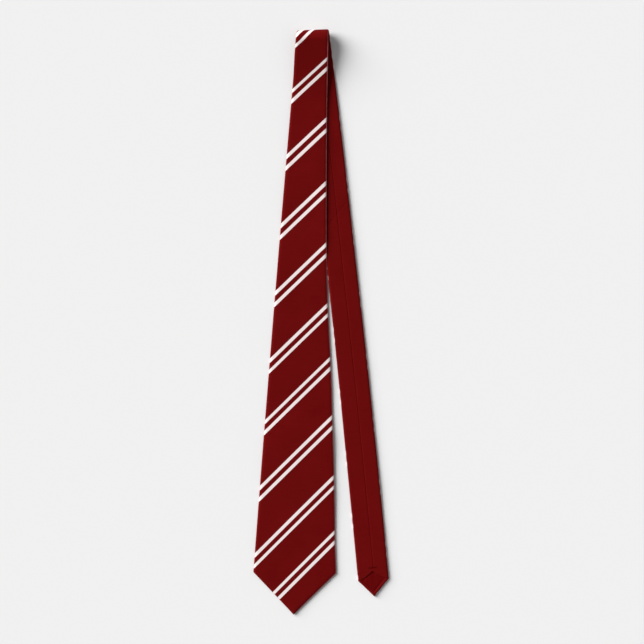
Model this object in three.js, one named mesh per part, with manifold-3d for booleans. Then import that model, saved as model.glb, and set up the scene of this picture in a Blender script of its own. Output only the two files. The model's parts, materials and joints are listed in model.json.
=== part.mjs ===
// A necktie, folded once at the neck and laid down flat: the tail lies underneath, back up,
// and the blade lies over it, front up. Millimetres, +Z up, the blade's point towards -Y.
//
// Every piece is cut flat, in pattern coordinates, and then folded into place:
//   u runs along the tie, 0 at the fold, positive to the blade's point, negative to the tail's,
//   v runs across the tie,
//   n runs through it, 0 at its back and `thickness` at its front.

import * as THREE from 'three';
import { mergeVertices } from 'three/addons/utils/BufferGeometryUtils.js';
import Module from 'manifold-3d';

const wasm = await Module();
wasm.setup();

// Outline
const bladeLength = 710; // from the fold to the blade's point, along the cloth
const tailLength = 692;
const neckWidth = 37;
const bladeWidth = 98.6; // across the blade's two corners
const bladeTip = 50.8; // from the corners to the point
const bladeFlare = 0.29; // how much of the blade's widening is curved rather than straight
const tailWaist = 34; // the tail's narrowest width
const tailWaistAt = 280; // and how far from the fold it is
const tailWidth = 36.5;
const tailTip = 21.5;

// Layers, from the front: cloth, interlining, tipping, cloth, with a gap between each
const clothThickness = 0.5;
const interliningThickness = 1.1;
const tippingThickness = 0.4;
const gap = 0.3;

// The fold and how the two legs lie
const foldRadius = 9; // to the middle of the cloth's thickness
const crownFall = THREE.MathUtils.degToRad(14); // how steeply the blade leaves the fold
const settleRadius = 120; // the blade's bend where it levels out again
const legSpread = THREE.MathUtils.degToRad(10.57); // angle between the two legs at the fold
const legBow = 16400; // radius of the slight curve of each leg back towards the other
const foldTurn = THREE.MathUtils.degToRad(2.14); // the fold line against the X axis
const tailClears = 300; // beyond this the tail is out from under the blade

// Seams across the tie, cut on the diagonal
const bladeSeamAt = -45;
const tailSeamAt = -228;
const seamSlant = 1; // advance along the tie for each millimetre across

// Seam up the back, and the pocket at each end
const backSlit = 1.2; // the two back flaps stop this far apart
const threadWidth = 0.5;
const bladeOpening = 108; // the back flaps part this far above the point
const bladeHem = 9;
const tailOpening = 33;
const tailHem = 5;
const tippingTuck = 25; // the tipping reaches this far up under the flaps
const tackLength = 9;
const tackWidth = 1.8;
const tackRise = 0.6;
const tackAbove = 4; // the tack stands this far above the opening

// Keeper loop and label on the back of the blade
const keeperAbove = 210; // middle of the keeper above the blade's point
const keeperSpan = 48;
const keeperDepth = 14;
const keeperThickness = 0.8;
const keeperTackWidth = 1.7;
const keeperTravel = 5;
const labelAbove = 160;
const labelSpan = 30;
const labelDepth = 22;
const labelThickness = 0.35;
const labelStitchDepth = 1.2;

// Hinge lines of the cloth
const bladeFoldReach = 90; // the blade's point, folded back, stops this far from the fold
const tailFoldReach = 108;
const foldPivotOut = 0.6; // hinge axis outside the cloth's front at the fold
const bladePivotUp = 1.2; // hinge axis above the blade's front
const tailPivotUp = 6.6; // hinge axis above the tail's back

// How finely the cloth is divided along its length
const legStep = 40;
const foldStep = 1.8;

// Worked out from the sizes above
const thickness = 2 * clothThickness + interliningThickness + tippingThickness + 3 * gap;
const lean = legSpread / 2;
const bladeCorner = bladeLength - bladeTip;
const tailCorner = tailLength - tailTip;
const bladeHinge = (bladeLength + bladeFoldReach) / 2;
const tailHinge = -(tailLength + tailFoldReach) / 2;
const tippingBack = clothThickness + gap;
const interliningBack = tippingBack + tippingThickness + gap;

// Colours
const silk = { color: 0x6a0f12, roughness: 0.55, metalness: 0 };
const lining = { color: 0x5a0d10, roughness: 0.45, metalness: 0 };
const wool = { color: 0xd9d4c8, roughness: 0.95, metalness: 0 };
const thread = { color: 0x4d0b0e, roughness: 0.6, metalness: 0 };
const labelCloth = { color: 0xe8e4da, roughness: 0.8, metalness: 0 };

// The tie's middle line on the flat pattern: how far it has gone across and away from the fold
// line, and which way it points there
function centre(u) {
  const turn = lean - Math.abs(u) / legBow;
  const across = -Math.sign(u) * legBow * (Math.cos(turn) - Math.cos(lean));
  const s = Math.sign(u) * legBow * (Math.sin(lean) - Math.sin(turn));
  return { across, s, turn };
}

function fromFoldLine(u, v) {
  const { s, turn } = centre(u);
  return s + v * Math.sin(turn);
}

// The tie seen from its side is one line in a vertical plane, by distance s from the fold:
// flat on the floor, round the fold, down a slope, round a shallow bend and straight to the point.
const quarterTurn = Math.PI / 2;
const slabFall = Math.atan((thickness + gap) / (bladeLength - tailClears));
const crownEnd = foldRadius * (quarterTurn + crownFall);
const settleLength = settleRadius * (crownFall - slabFall);
const pointAt = centre(bladeLength).s;
const crownHeight = thickness / 2 + foldRadius * (1 + Math.cos(crownFall));
const settleDrop = settleRadius * (Math.cos(slabFall) - Math.cos(crownFall));
const slabHeight = (s) => (pointAt - s) * Math.sin(slabFall) + (thickness / 2) * Math.cos(slabFall);
const slopeDrop = crownHeight - settleDrop - slabHeight(crownEnd + settleLength);
const slopeLength = slopeDrop / (Math.sin(crownFall) - Math.sin(slabFall));
const slopeEnd = crownEnd + slopeLength;
const slabStart = slopeEnd + settleLength;

function along(from, heading, length) {
  const y = from.y + length * Math.cos(heading);
  const z = from.z + length * Math.sin(heading);
  return { y, z, heading };
}

function sideLine(s) {
  if (s < -foldRadius * quarterTurn) {
    return along({ y: foldRadius * quarterTurn, z: thickness / 2 }, 0, s);
  }
  if (s < crownEnd) {
    const heading = s / foldRadius + quarterTurn;
    const y = foldRadius * Math.sin(heading);
    const z = thickness / 2 + foldRadius * (1 - Math.cos(heading));
    return { y, z, heading };
  }
  if (s < slopeEnd) {
    return along(sideLine(crownEnd - 1e-9), Math.PI + crownFall, s - crownEnd);
  }
  const slope = sideLine(slopeEnd - 1e-9);
  if (s < slabStart) {
    const fall = crownFall - (s - slopeEnd) / settleRadius;
    const y = slope.y - settleRadius * (Math.sin(crownFall) - Math.sin(fall));
    const z = slope.z - settleRadius * (Math.cos(fall) - Math.cos(crownFall));
    return { y, z, heading: Math.PI + fall };
  }
  const y = slope.y - settleRadius * (Math.sin(crownFall) - Math.sin(slabFall));
  const z = slope.z - settleDrop;
  return along({ y, z }, Math.PI + slabFall, s - slabStart);
}

// From pattern coordinates to the folded tie. The fold line is the X axis here.
function lay(u, v, n) {
  const { across: middleAcross, turn } = centre(u);
  const across = middleAcross + v * Math.cos(turn);
  const line = sideLine(fromFoldLine(u, v));
  const out = n - thickness / 2;
  const y = line.y + out * Math.sin(line.heading);
  const z = line.z - out * Math.cos(line.heading);
  return new THREE.Vector3(across, y, z);
}

function halfWidth(u) {
  if (u >= 0) {
    const share = Math.min(u / bladeCorner, 1);
    const widening = share * (1 - bladeFlare + bladeFlare * share);
    return (neckWidth + (bladeWidth - neckWidth) * widening) / 2;
  }
  if (u > -tailWaistAt) {
    return THREE.MathUtils.lerp(neckWidth, tailWaist, -u / tailWaistAt) / 2;
  }
  const share = Math.min((-u - tailWaistAt) / (tailCorner - tailWaistAt), 1);
  return THREE.MathUtils.lerp(tailWaist, tailWidth, share) / 2;
}

// Cuts across the tie, as u for each v: square to it, on the diagonal, or parallel to the fold
const square = (u) => ({ at: () => u, slant: 0 });
const diagonal = (u) => ({ at: (v) => u + seamSlant * v, slant: seamSlant });

function parallel(s) {
  const at = (v) => {
    let u = s;
    for (let pass = 0; pass < 6; pass += 1) {
      u += s - fromFoldLine(u, v);
    }
    return u;
  };
  return { at, slant: Math.tan(lean) };
}

// The same cut moved by half a gap, measured square to the cut
function shifted(cut, side) {
  const step = (side * gap * Math.hypot(1, cut.slant)) / 2;
  return (v) => cut.at(v) + step;
}

// Cross-sections, as [v, n] points
function shellSection(u) {
  const edge = halfWidth(u);
  const inner = edge - clothThickness;
  const slit = backSlit / 2;
  const front = thickness - clothThickness;
  return [
    [slit, 0], [edge, 0], [edge, thickness], [-edge, thickness], [-edge, 0], [-slit, 0],
    [-slit, clothThickness], [-inner, clothThickness], [-inner, front],
    [inner, front], [inner, clothThickness], [slit, clothThickness],
  ];
}

const box = (half, low, high) => [[-half, low], [half, low], [half, high], [-half, high]];

function interliningSection(u) {
  const half = halfWidth(u) - clothThickness - gap;
  return box(half, interliningBack, interliningBack + interliningThickness);
}

const threadSection = () => box(threadWidth / 2, 0, clothThickness);

// The lines across the tie that a strip is built on. Each stretch is [the cut it ends at, the
// widest step on the way there].
function stations(from, stretches) {
  const lines = [shifted(from, 1)];
  stretches.forEach(([to, spacing], index) => {
    const start = lines[lines.length - 1];
    const end = index === stretches.length - 1 ? shifted(to, -1) : to.at;
    const steps = Math.ceil((end(0) - start(0)) / spacing);
    for (let k = 1; k <= steps; k += 1) {
      lines.push((v) => THREE.MathUtils.lerp(start(v), end(v), k / steps));
    }
  });
  return lines;
}

// One closed solid through the same cross-section at each of those lines, already folded
function strip(section, from, ...stretches) {
  const lines = stations(from, stretches);
  const steps = lines.length - 1;
  const count = section(0).length;
  const points = [];
  for (const station of lines) {
    for (let i = 0; i < count; i += 1) {
      let u = station(0);
      for (let pass = 0; pass < 4; pass += 1) {
        u = station(section(u)[i][0]);
      }
      const [v, n] = section(u)[i];
      points.push(lay(u, v, n));
    }
  }
  const faces = [];
  for (let k = 0; k < steps; k += 1) {
    for (let i = 0; i < count; i += 1) {
      const a = k * count + i;
      const b = k * count + ((i + 1) % count);
      faces.push(a, b, b + count, a, b + count, a + count);
    }
  }
  const contour = section(0).map(([v, n]) => new THREE.Vector2(v, n));
  const last = steps * count;
  for (const [a, b, c] of THREE.ShapeUtils.triangulateShape(contour, [])) {
    faces.push(a, c, b, last + a, last + b, last + c);
  }
  const geometry = new THREE.BufferGeometry().setFromPoints(points);
  geometry.setIndex(faces);
  return geometry;
}

// A flat piece of the given outline, between two heights
function panel(outline, low, high) {
  const shape = new THREE.Shape(outline.map(([u, v]) => new THREE.Vector2(u, v)));
  const geometry = new THREE.ExtrudeGeometry(shape, { depth: high - low, bevelEnabled: false });
  geometry.translate(0, 0, low);
  return geometry;
}

function rectangle(u0, u1, v0, v1) {
  return [[u0, v0], [u1, v0], [u1, v1], [u0, v1]];
}

function toSolid(geometry) {
  const bare = geometry.clone();
  bare.deleteAttribute('normal');
  bare.deleteAttribute('uv');
  const merged = mergeVertices(bare);
  const vertProperties = new Float32Array(merged.attributes.position.array);
  const triVerts = new Uint32Array(merged.index.array);
  return new wasm.Manifold(new wasm.Mesh({ numProp: 3, vertProperties, triVerts }));
}

function fromSolid(solid) {
  const { vertProperties, triVerts } = solid.getMesh();
  const geometry = new THREE.BufferGeometry();
  geometry.setAttribute('position', new THREE.Float32BufferAttribute(vertProperties, 3));
  geometry.setIndex(Array.from(triVerts));
  return geometry;
}

// Moves a flat piece's points from pattern coordinates to the folded tie
function fold(geometry) {
  const position = geometry.attributes.position;
  for (let i = 0; i < position.count; i += 1) {
    const point = lay(position.getX(i), position.getY(i), position.getZ(i));
    position.setXYZ(i, point.x, point.y, point.z);
  }
  return geometry;
}

// The two pointed ends. `way` is +1 towards the blade's point and -1 towards the tail's.
const bladeEnd = {
  way: 1, length: bladeLength, width: bladeWidth, tip: bladeTip,
  hinge: bladeHinge, opening: bladeOpening, hem: bladeHem,
};
const tailEnd = {
  way: -1, length: tailLength, width: tailWidth, tip: tailTip,
  hinge: -tailHinge, opening: tailOpening, hem: tailHem,
};

// The end's outline from a distance `from` to its point, drawn in by `inset` at sides and point
function endOutline(end, from, inset) {
  const steepness = end.tip / (end.width / 2);
  const point = end.length - inset * Math.hypot(1, steepness);
  const cornerOut = end.width / 2 - inset;
  const cornerAt = point - steepness * cornerOut;
  const side = [];
  const steps = 6;
  for (let k = 0; k < steps; k += 1) {
    const distance = THREE.MathUtils.lerp(from, cornerAt, k / steps);
    side.push([end.way * distance, halfWidth(end.way * distance) - inset]);
  }
  side.push([end.way * cornerAt, cornerOut]);
  const mirrored = side.map(([u, v]) => [u, -v]).reverse();
  return [...side, [end.way * point, 0], ...mirrored];
}

// Where the flaps part and the tipping shows: a kite from the tack to the corners and the point
function openingOutline(end) {
  const steepness = end.tip / (end.width / 2);
  const point = end.length - end.hem * Math.hypot(1, steepness);
  const cornerOut = end.width / 2 - end.hem;
  const cornerAt = point - steepness * cornerOut;
  const top = end.length - end.opening;
  return [
    [end.way * top, 0], [end.way * cornerAt, cornerOut],
    [end.way * point, 0], [end.way * cornerAt, -cornerOut],
  ];
}

function endShell(end) {
  const start = end.hinge + gap / 2;
  const front = thickness - clothThickness;
  const before = start - 1;
  const top = end.way * (end.length - end.opening + 1);
  const slit = rectangle(end.way * before, top, -backSlit / 2, backSlit / 2);
  const shell = toSolid(panel(endOutline(end, start, 0), 0, thickness))
    .subtract(toSolid(panel(endOutline(end, before, clothThickness), clothThickness, front)))
    .subtract(toSolid(panel(openingOutline(end), -1, clothThickness + 0.1)))
    .subtract(toSolid(panel(slit, -1, clothThickness + 0.1)));
  return fold(fromSolid(shell));
}

function endInterlining(end) {
  const outline = endOutline(end, end.hinge + gap / 2, clothThickness + gap);
  return fold(panel(outline, interliningBack, interliningBack + interliningThickness));
}

function tipping(end) {
  const from = end.length - end.opening - tippingTuck;
  const outline = endOutline(end, from, clothThickness + gap);
  return fold(panel(outline, tippingBack, tippingBack + tippingThickness));
}

function endThread(end) {
  const from = end.way * (end.hinge + gap / 2);
  const to = end.way * (end.length - end.opening - tackAbove);
  return fold(panel(rectangle(from, to, -threadWidth / 2, threadWidth / 2), 0, clothThickness));
}

// Something flat sewn to the back: `depth` along the tie, `span` across it
function onBack(u, v, depth, span, rise) {
  const outline = rectangle(u - depth / 2, u + depth / 2, v - span / 2, v + span / 2);
  return fold(panel(outline, -gap - rise, -gap));
}

function barTack(end) {
  const u = end.way * (end.length - end.opening - tackAbove);
  return onBack(u, 0, tackWidth, tackLength, tackRise);
}

const laid = new THREE.Group();

function add(name, geometry, look) {
  geometry.computeVertexNormals();
  const mesh = new THREE.Mesh(geometry, new THREE.MeshStandardMaterial(look));
  mesh.name = name;
  laid.add(mesh);
}

// Cuts that part the cloth into the lengths that move
const bladeHingeCut = square(bladeHinge);
const tailHingeCut = square(tailHinge);
const slabCut = parallel(slabStart + 4);
const foldCut = parallel(0);
const floorCut = parallel(-foldRadius * quarterTurn);
const bladeSeam = diagonal(bladeSeamAt);
const tailSeam = diagonal(tailSeamAt);

// Stretches along the tie, shared by the shell and by what is inside it
const bladeBody = [slabCut, [bladeHingeCut, legStep]];
const foldUpper = [foldCut, [slabCut, foldStep]];
const foldLower = [bladeSeam, [floorCut, legStep], [foldCut, foldStep]];
const neck = [tailHingeCut, [tailSeam, legStep], [bladeSeam, legStep]];

// Shell: blade section, neck section and tail section
add('blade_shell_tip', endShell(bladeEnd), silk);
add('blade_shell_body', strip(shellSection, ...bladeBody), silk);
add('fold_shell_upper', strip(shellSection, ...foldUpper), silk);
add('fold_shell_lower', strip(shellSection, ...foldLower), silk);
add('neck_shell', strip(shellSection, tailSeam, [bladeSeam, legStep]), silk);
add('tail_shell_body', strip(shellSection, tailHingeCut, [tailSeam, legStep]), silk);
add('tail_shell_tip', endShell(tailEnd), silk);

// Interlining inside it
add('interlining_blade_tip', endInterlining(bladeEnd), wool);
add('interlining_blade_body', strip(interliningSection, ...bladeBody), wool);
add('interlining_fold_upper', strip(interliningSection, ...foldUpper), wool);
add('interlining_fold_lower', strip(interliningSection, ...foldLower), wool);
add('interlining_neck', strip(interliningSection, ...neck), wool);
add('interlining_tail_tip', endInterlining(tailEnd), wool);

// Slip-stitch thread that closes the back
add('slip_stitch_blade_tip', endThread(bladeEnd), thread);
add('slip_stitch_blade_body', strip(threadSection, ...bladeBody), thread);
add('slip_stitch_fold_upper', strip(threadSection, ...foldUpper), thread);
add('slip_stitch_fold_lower', strip(threadSection, ...foldLower), thread);
add('slip_stitch_neck', strip(threadSection, ...neck), thread);
add('slip_stitch_tail_tip', endThread(tailEnd), thread);

// Tipping and bar tacks
add('blade_tipping', tipping(bladeEnd), lining);
add('tail_tipping', tipping(tailEnd), lining);
add('blade_bar_tack', barTack(bladeEnd), thread);
add('tail_bar_tack', barTack(tailEnd), thread);

// Keeper loop, with its sewn ends beside it
const keeperAt = bladeLength - keeperAbove;
const keeperTackAt = keeperSpan / 2 + gap + keeperTackWidth / 2;
add('keeper_band', onBack(keeperAt, 0, keeperDepth, keeperSpan, keeperThickness), silk);
for (const [side, hand] of [['left', -1], ['right', 1]]) {
  const tack = onBack(keeperAt, hand * keeperTackAt, keeperDepth, keeperTackWidth, keeperThickness);
  add(`keeper_tack_${side}`, tack, thread);
}

// Blank label, sewn down at both ends
const labelAt = bladeLength - labelAbove;
const labelStitchAt = labelDepth / 2 + gap + labelStitchDepth / 2;
add('care_label', onBack(labelAt, 0, labelDepth, labelSpan, labelThickness), labelCloth);
for (const [side, hand] of [['top', -1], ['bottom', 1]]) {
  const u = labelAt + hand * labelStitchAt;
  add(`label_stitch_${side}`, onBack(u, 0, labelStitchDepth, labelSpan, labelThickness), thread);
}

laid.rotation.z = foldTurn;
const necktie = new THREE.Group();
necktie.add(laid);
const bounds = new THREE.Box3().setFromObject(necktie, true);
const middle = bounds.getCenter(new THREE.Vector3());
necktie.position.set(-middle.x, -middle.y, -bounds.min.z);
necktie.updateMatrixWorld(true);

// Where each joint turns or slides, in the part's frame
function joint(from, towards) {
  const at = laid.localToWorld(from.clone());
  const axis = laid.localToWorld(towards.clone()).sub(at).normalize();
  return { at, axis };
}

const foldAxis = lay(0, 0, thickness + foldPivotOut);
const seamEdge = halfWidth(bladeSeamAt + (seamSlant * neckWidth) / 2);
const seamCorner = lay(bladeSeamAt + seamSlant * seamEdge, seamEdge, 0);
const bladePivot = thickness + bladePivotUp;
necktie.userData.joints = {
  fold_open: joint(foldAxis, foldAxis.clone().add(new THREE.Vector3(-1, 0, 0))),
  legs_spread: joint(seamCorner, seamCorner.clone().add(new THREE.Vector3(0, 0, -1))),
  blade_fold: joint(lay(bladeHinge, 0, bladePivot), lay(bladeHinge, -1, bladePivot)),
  tail_fold: joint(lay(tailHinge, 0, -tailPivotUp), lay(tailHinge, -1, -tailPivotUp)),
  keeper_open: joint(lay(keeperAt, 0, 0), lay(keeperAt, 0, -keeperTravel)),
};

export default necktie;
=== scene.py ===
import json
import math

import bmesh
import bpy
import numpy as np
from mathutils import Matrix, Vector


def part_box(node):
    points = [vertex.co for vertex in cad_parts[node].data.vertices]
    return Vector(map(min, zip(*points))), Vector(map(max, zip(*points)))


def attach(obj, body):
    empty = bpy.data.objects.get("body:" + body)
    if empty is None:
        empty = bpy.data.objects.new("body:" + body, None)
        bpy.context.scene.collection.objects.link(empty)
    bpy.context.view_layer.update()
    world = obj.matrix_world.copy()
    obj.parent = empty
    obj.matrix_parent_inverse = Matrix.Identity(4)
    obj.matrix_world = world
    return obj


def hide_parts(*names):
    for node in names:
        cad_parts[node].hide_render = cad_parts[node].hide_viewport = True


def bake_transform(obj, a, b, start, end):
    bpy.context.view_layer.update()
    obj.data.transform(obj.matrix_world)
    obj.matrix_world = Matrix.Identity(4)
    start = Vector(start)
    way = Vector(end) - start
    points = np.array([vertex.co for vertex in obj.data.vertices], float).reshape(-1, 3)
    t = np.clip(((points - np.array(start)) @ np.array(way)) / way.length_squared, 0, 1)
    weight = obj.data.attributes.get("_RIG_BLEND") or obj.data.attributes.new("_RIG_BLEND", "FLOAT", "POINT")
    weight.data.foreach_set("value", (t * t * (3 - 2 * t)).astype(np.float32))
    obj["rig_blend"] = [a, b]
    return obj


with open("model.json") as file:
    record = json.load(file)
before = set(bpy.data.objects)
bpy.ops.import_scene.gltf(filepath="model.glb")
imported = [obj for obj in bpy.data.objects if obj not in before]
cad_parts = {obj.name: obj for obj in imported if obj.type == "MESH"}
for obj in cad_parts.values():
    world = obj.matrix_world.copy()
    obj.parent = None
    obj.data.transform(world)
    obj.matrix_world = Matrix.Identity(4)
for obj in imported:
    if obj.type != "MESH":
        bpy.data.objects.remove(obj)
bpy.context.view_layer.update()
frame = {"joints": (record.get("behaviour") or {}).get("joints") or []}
joints = {joint["name"]: joint for joint in frame["joints"]}

# The tie is cut flat and then folded into place. Flat sizes are millimetres:
# u runs along the tie from the fold (blade +, tail -), v across it,
# n through it from its back (0) to its front.
mm = 0.001
tie = {
    "bladeLength": 710.0,
    "tailLength": 692.0,
    "neckWidth": 37.0,
    "bladeWidth": 98.6,
    "bladeTip": 50.8,
    "bladeFlare": 0.29,
    "tailWaist": 34.0,
    "tailWaistAt": 280.0,
    "tailWidth": 36.5,
    "tailTip": 21.5,
    "thick": 3.4,
    "foldRadius": 9.0,
    "hingeOut": 0.6,  # from the fold's outside to its hinge line
    "crownFall": math.radians(14),
    "settleRadius": 120.0,
    "legSpread": math.radians(10.57),
    "legBow": 16400.0,
    "layerGap": 0.3,
    "tailClears": 300.0,
    "bladeSeamAt": -45.0,
    "tailSeamAt": -228.0,
    "bladeHinge": 400.0,
    "tailHinge": -400.0,
}
thick = tie["thick"]
bladeLength, tailLength = tie["bladeLength"], tie["tailLength"]
radius, bow, fall = tie["foldRadius"], tie["legBow"], tie["crownFall"]
lean = tie["legSpread"] / 2
bladeSteep, tailSteep = 2 * tie["bladeTip"] / tie["bladeWidth"], 2 * tie["tailTip"] / tie["tailWidth"]
quarterTurn = math.pi / 2

# The fold's place and turn come from the joint that opens it
foldJoint = joints["fold_open"]
foldTurn = math.atan2(-foldJoint["axis"][1], -foldJoint["axis"][0])
foldReach = (radius + thick / 2 + tie["hingeOut"]) * mm
foldOrigin = (
    foldJoint["pos_m"][0] + foldReach * math.sin(foldTurn),
    foldJoint["pos_m"][1] - foldReach * math.cos(foldTurn),
)

rounds = 5  # enough for every place that is found by repeating


def ease(x):
    x = np.clip(x, 0, 1)
    return x * x * (3 - 2 * x)


def middleLine(u):
    # across, distance from the fold line, and heading of the tie's middle line
    turn = lean - np.abs(u) / bow
    across = -np.sign(u) * bow * (np.cos(turn) - math.cos(lean))
    return across, np.sign(u) * bow * (math.sin(lean) - np.sin(turn)), turn


loopStart = -radius * quarterTurn
loopEnd = radius * (quarterTurn + fall)
slabFall = math.atan((thick + tie["layerGap"]) / (bladeLength - tie["tailClears"]))
settleLength = tie["settleRadius"] * (fall - slabFall)
settleDrop = tie["settleRadius"] * (math.cos(slabFall) - math.cos(fall))
slabLeft = middleLine(bladeLength)[1] - loopEnd - settleLength
slabTop = slabLeft * math.sin(slabFall) + thick / 2 * math.cos(slabFall)
slopeDrop = thick / 2 + radius * (1 + math.cos(fall)) - settleDrop - slabTop
slopeLength = slopeDrop / (math.sin(fall) - math.sin(slabFall))
slopeEnd = loopEnd + slopeLength
slabStart = slopeEnd + settleLength


def sideLine(s):
    # the tie seen from its side: floor, loop, slope, shallow bend, straight to the point
    loop = np.where(s < loopStart, 0.0, np.minimum(s, loopEnd) / radius + quarterTurn)
    slope = np.clip(s - loopEnd, 0, slopeLength)
    turned = np.clip(s - slopeEnd, 0, settleLength) / tie["settleRadius"]
    slab = np.maximum(s - slabStart, 0)
    y = np.minimum(s - loopStart, 0) + radius * np.sin(loop)
    y -= slope * math.cos(fall) + slab * math.cos(slabFall)
    y -= tie["settleRadius"] * (math.sin(fall) - np.sin(fall - turned))
    z = thick / 2 + radius * (1 - np.cos(loop))
    z -= slope * math.sin(fall) + slab * math.sin(slabFall)
    z -= tie["settleRadius"] * (np.cos(fall - turned) - math.cos(fall))
    return y, z, loop - turned


def legWidth(u):
    # half the finished width, before the pointed ends are cut
    blade = np.clip(u / (bladeLength - tie["bladeTip"]), 0, 1)
    blade = blade * (1 - tie["bladeFlare"] + tie["bladeFlare"] * blade)
    tailRun = tailLength - tie["tailTip"] - tie["tailWaistAt"]
    tail = np.clip((-u - tie["tailWaistAt"]) / tailRun, 0, 1)
    neck = np.clip(-u / tie["tailWaistAt"], 0, 1)
    wide = tie["neckWidth"] + (tie["bladeWidth"] - tie["neckWidth"]) * blade
    wide += (tie["tailWaist"] - tie["neckWidth"]) * neck
    return (wide + (tie["tailWidth"] - tie["tailWaist"]) * tail) / 2


def pointShape(u):
    # distance left to the point, and how steep that end's two sides are
    left = np.where(u > 0, bladeLength - u, tailLength + u)
    return left, np.where(u > 0, bladeSteep, tailSteep)


def pointHalf(u, inset):
    # half the width that the pointed end leaves
    left, steep = pointShape(u)
    return left / steep - inset * np.sqrt(1 + 1 / steep**2)


def outline(u, inset):
    return np.maximum(np.minimum(legWidth(u) - inset, pointHalf(u, inset)), 0)


def edgeDistance(u, v, inset):
    steep = pointShape(u)[1]
    side = legWidth(u) - inset - np.abs(v)
    pointed = (pointHalf(u, inset) - np.abs(v)) * steep / np.sqrt(1 + steep**2)
    return np.maximum(np.minimum(side, pointed), 0)


# How far the cloth has given way sideways, and how its tail's point is drawn
eased = {
    # along the tie, and how far its right or left edge has moved out there
    "rightAt": (290, 335, 366, 395, 440, 526, 584, 620, 659, 710),
    "right": (0, 0.8, 1.8, 3.0, 3.8, 3.9, 3.0, 1.8, 1.4, 0),
    "leftAt": (-692, -670, -600, -520, -300, -200, -4, 4, 14, 34, 60),
    "left": (0, 0.7, 1.3, 1.7, 1.7, 0, 0, 1.0, 1.2, 1.0, 0),
    # how far the point is drawn, from how far down the tail, over what length
    "pointAcross": (0.9, 672, 17),
    "pointBack": (1.6, 660, 29),
}


def pointDrawn(u, way):
    amount, start, length = eased[way]
    return amount * ease((-u - start) / length)


def easedAcross(u, v):
    share = np.clip(v / np.maximum(legWidth(u), 1), -1, 1)
    right = np.interp(u, eased["rightAt"], eased["right"]) * (1 + share) / 2
    left = np.interp(u, eased["leftAt"], eased["left"]) * (1 - share) / 2
    return v + right - left - pointDrawn(u, "pointAcross")


def layFlat(u, v, n):
    # millimetres, with the fold line as the X axis
    v = easedAcross(u, v)
    across, fromFold, turn = middleLine(u + pointDrawn(u, "pointBack"))
    y, z, heading = sideLine(fromFold + v * np.sin(turn))
    out = n - thick / 2
    return across + v * np.cos(turn), y + out * np.sin(heading), z - out * np.cos(heading)


# How the cloth really lies: the blade sags onto the tail and then onto the floor
sag = {
    "from": 26.0,
    "held": 14.0,  # as far again as the fold still carries it
    "short": 2.0,  # left out at the point
    "rows": 150,
    "columns": 25,
    "limpness": 0.0048,  # curvature the cloth takes where nothing holds it, per mm
    "stiffAcross": 3,  # times as stiff as along
    "passes": 5000,
    "smoothing": 5,
    "gap": 0.15,
    "tailRound": 2.4,  # how far in the tail's edge is round, and its height at the very edge
    "tailEdge": 0.35,
    # along, half span, half depth, height of what is under the blade, and how far it fades
    "under": ((500.0, 32.0, 11.0, 1.45), (550.0, 20.0, 14.0, 0.95), (598.0, 6.0, 1.5, 0.75)),
    "fadeAcross": 12.0,
    "fadeAlong": 14.0,
}


def tailTopUnder(x, y):
    s = y + loopStart
    u = s
    for _ in range(rounds):
        across, _, turn = middleLine(u)
        v = (x - across) / np.cos(turn)
        fromFold = np.abs(s - v * np.sin(turn))
        u = -(lean - np.arcsin(math.sin(lean) - fromFold / bow)) * bow
    fromEdge = edgeDistance(u, v, 0) / sag["tailRound"]
    rounded = np.sqrt(1 - (1 - np.clip(fromEdge, 0, 1)) ** 2)
    top = thick * (sag["tailEdge"] + (1 - sag["tailEdge"]) * rounded)
    return np.where((fromEdge > 0) & (u > -tailLength), top, 0)


def settle():
    u = np.linspace(sag["from"], bladeLength - sag["short"], sag["rows"])[:, None]
    v = np.linspace(-1, 1, sag["columns"])[None, :] * legWidth(u)
    u = u + 0 * v
    x, y, straight = layFlat(u, v, thick / 2)
    tailTop = tailTopUnder(x, y)
    ground = thick / 2 + np.where(tailTop > 0, sag["gap"] + tailTop, 0)
    for at, span, depth, height in sag["under"]:
        beside = ease((span + sag["fadeAcross"] - np.abs(v)) / sag["fadeAcross"])
        ground += height * beside * ease((depth + sag["fadeAlong"] - np.abs(u - at)) / sag["fadeAlong"])
    alongWeight = 1 / (u[1, 0] - u[0, 0]) ** 2
    acrossWeight = sag["stiffAcross"] / np.maximum((v[:, 1] - v[:, 0])[:, None], 0.5) ** 2
    pinned = u < sag["from"] + sag["held"]
    z = np.where(pinned, straight, ground)
    for _ in range(sag["passes"]):
        along = np.concatenate([z[:1], (z[2:] + z[:-2]) / 2, z[-2:-1]])
        across = np.concatenate([z[:, 1:2], (z[:, 2:] + z[:, :-2]) / 2, z[:, -2:-1]], 1)
        mean = along * alongWeight + across * acrossWeight - sag["limpness"] / 2
        z = np.where(pinned, straight, np.maximum(mean / (alongWeight + acrossWeight), ground))
    for _ in range(sag["smoothing"]):
        z[1:-1] = np.where(pinned[1:-1], z[1:-1], (z[2:] + z[:-2] + 2 * z[1:-1]) / 4)
        z[:, 1:-1] = (z[:, 2:] + z[:, :-2] + 2 * z[:, 1:-1]) / 4
    print(f"blade settled, lowered by up to {-(z - straight).min():.1f} mm")
    return u[:, 0], z - straight


sagAt, sagLift = settle()

# Low waves left in the cloth, never below where it lies
ripples = {
    # mm along and across to a radian, start, share
    "waves": ((23, 31, 0.6, 1.0), (41, -17, 2.1, 0.7), (11.5, 9, 4.0, 0.5)),
    "bladeHeight": 0.22,
    "tailHeight": 0.16,
    "clearOfFold": 70,
    "fadeIn": 60,
}


def ripple(u, v):
    waves = (part * np.sin(u / along + v / across + start) for along, across, start, part in ripples["waves"])
    height = np.where(u > 0, ripples["bladeHeight"], ripples["tailHeight"])
    height = height * ease((np.abs(u) - ripples["clearOfFold"]) / ripples["fadeIn"])
    return np.maximum(sum(waves), 0) * height


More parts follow.
